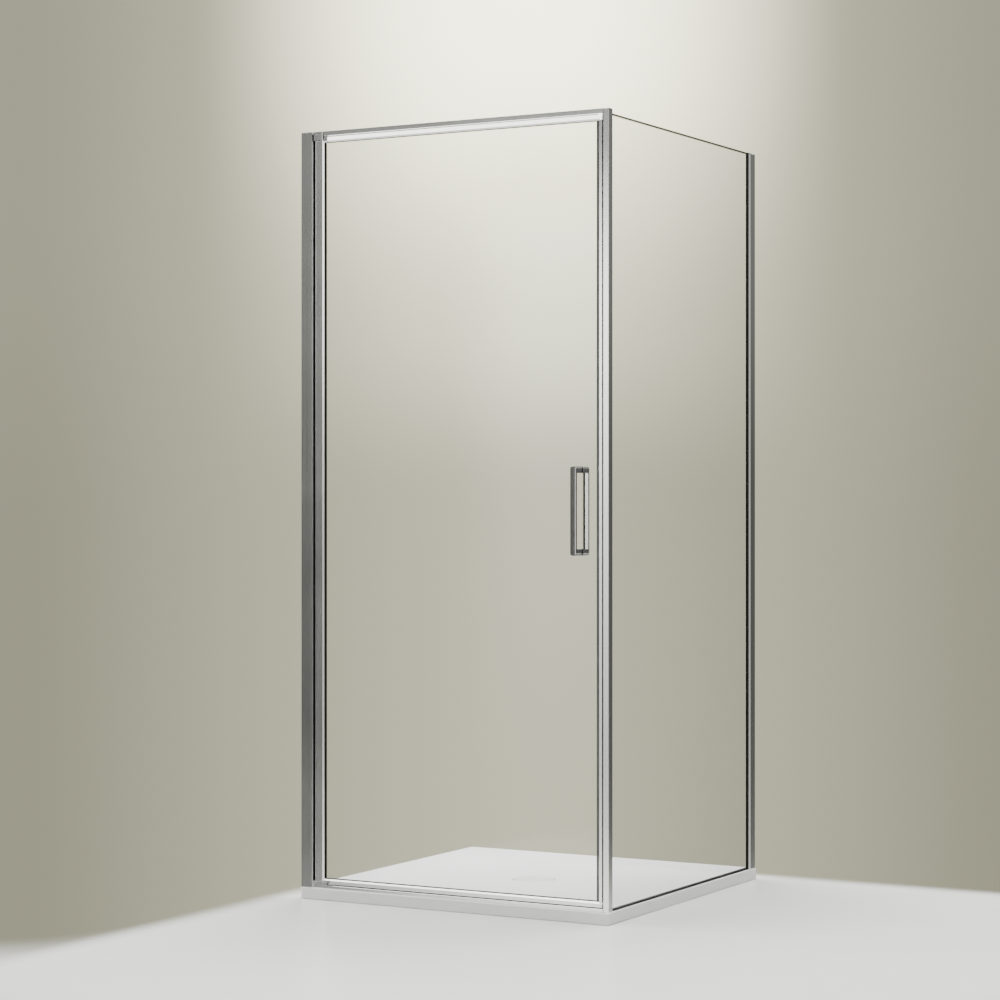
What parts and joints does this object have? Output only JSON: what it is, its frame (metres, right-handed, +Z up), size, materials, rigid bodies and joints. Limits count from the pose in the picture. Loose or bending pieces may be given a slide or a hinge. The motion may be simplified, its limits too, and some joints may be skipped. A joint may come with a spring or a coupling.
{
  "type": "corner shower enclosure",
  "caption": "Square corner shower enclosure: low tray, framed glass pivot door, fixed glass side panel, back-to-back D handles and a lift-out waste cover.",
  "frame": {"origin": "centre of the footprint, at floor level", "axes": "+X along the door from the hinge wall to the corner post, +Y into the enclosure toward the back wall, +Z up"},
  "size_m": [0.9, 0.92, 2],
  "materials": {
    "tray_white": "satin white gel coat over cast stone resin",
    "cover_white": "smooth white",
    "bright_aluminium": "bright polished, anodised",
    "chrome": "polished",
    "steel": "plain stainless",
    "clear_glass": "clear, toughened",
    "black_seal": "matt black",
    "bush_nylon": "plain black nylon",
    "cap_grey": "silver grey",
    "clear_sleeve": "clear"
  },
  "bodies": {
    "enclosure": {"shower_tray": "tray_white", "waste_seal": "black_seal", "waste_flange": "chrome", "wall_channel_left": "bright_aluminium", "wall_channel_left_cap": "cap_grey", "hinge_jamb": "bright_aluminium", "jamb_screw_lower": "steel", "jamb_screw_middle": "steel", "jamb_screw_upper": "steel", "hinge_side_seal": "black_seal", "head_rail": "bright_aluminium", "sill": "bright_aluminium", "corner_post": "bright_aluminium", "corner_post_cap": "cap_grey", "corner_post_foot": "bright_aluminium", "head_rail_screw": "steel", "sill_screw": "steel", "post_magnet_strip": "black_seal", "pivot_block_top": "bright_aluminium", "pivot_block_bottom": "bright_aluminium", "pivot_grub_screw": "steel", "pivot_pin_top": "steel", "pivot_pin_bottom": "steel", "side_glass": "clear_glass", "side_post_gasket": "black_seal", "side_wall_gasket": "black_seal", "side_bottom_seal": "black_seal", "wall_channel_side": "bright_aluminium", "wall_channel_side_cap": "cap_grey"},
    "door": {"door_glass": "clear_glass", "door_hinge_stile": "bright_aluminium", "door_lock_stile": "bright_aluminium", "door_top_rail": "bright_aluminium", "door_bottom_rail": "bright_aluminium", "door_corner_top": "bright_aluminium", "door_corner_bottom": "bright_aluminium", "door_hinge_gasket": "black_seal", "door_lock_gasket": "black_seal", "door_top_gasket": "black_seal", "door_bottom_gasket": "black_seal", "door_magnet_strip": "black_seal", "door_wiper_seal": "black_seal", "lock_corner_screw_top": "steel", "lock_corner_screw_bottom": "steel", "handle_outer": "chrome", "handle_inner": "chrome", "handle_washer_outer_upper": "black_seal", "handle_washer_outer_lower": "black_seal", "handle_washer_inner_upper": "black_seal", "handle_washer_inner_lower": "black_seal", "handle_stud_upper": "steel", "handle_stud_lower": "steel", "handle_sleeve_upper": "clear_sleeve", "handle_sleeve_lower": "clear_sleeve", "pivot_bush_top": "bush_nylon", "pivot_bush_bottom": "bush_nylon"},
    "cover": {"waste_cover": "cover_white"}
  },
  "joints": [
    {"name": "door_hinge", "type": "hinge", "parent": "enclosure", "child": "door", "pos_m": [-0.405, -0.422, 1], "axis": [0, 0, -1], "range_deg": [0, 90]},
    {"name": "waste_cover_lift", "type": "slide", "parent": "enclosure", "child": "cover", "axis": [0, 0, 1], "range_m": [0, 0.04]}
  ]
}
